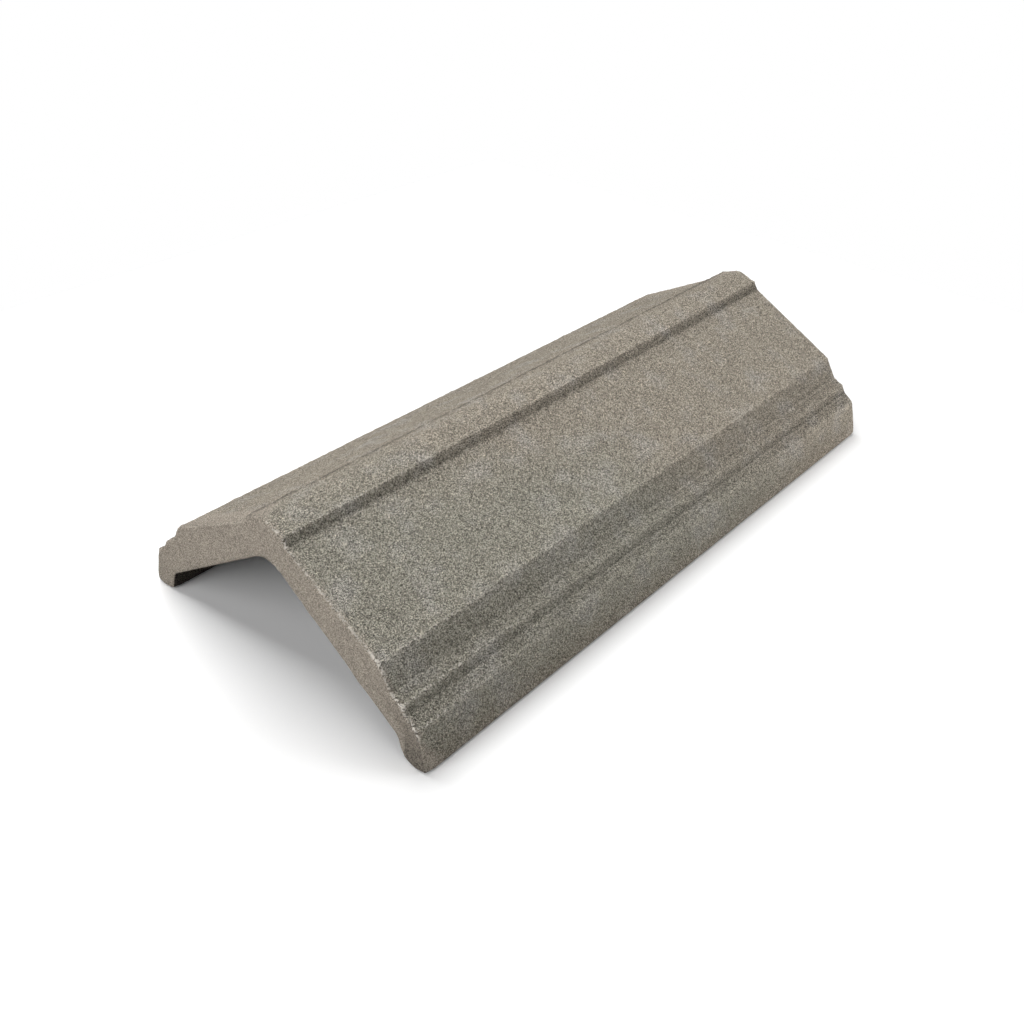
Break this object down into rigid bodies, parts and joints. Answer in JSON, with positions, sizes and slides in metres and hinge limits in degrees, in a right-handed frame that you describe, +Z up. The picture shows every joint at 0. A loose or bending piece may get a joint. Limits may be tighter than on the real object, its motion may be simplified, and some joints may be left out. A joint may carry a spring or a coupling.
{
  "type": "concrete ridge tile",
  "caption": "Angular concrete ridge tile with a raised crest roll, sloping wings, stepped mouldings and drip lips, open at both ends.",
  "frame": {"origin": "on the plane of the two feet, under the ridge line, half way along the tile", "axes": "+X along the ridge, +Y across it towards one wing, +Z up"},
  "size_m": [0.42, 0.2108, 0.0913],
  "materials": {
    "concrete": "matt sand-faced cast concrete, grey brown, with fine light and dark grains"
  },
  "bodies": {
    "root": {"ridge_tile": "concrete"}
  },
  "joints": []
}
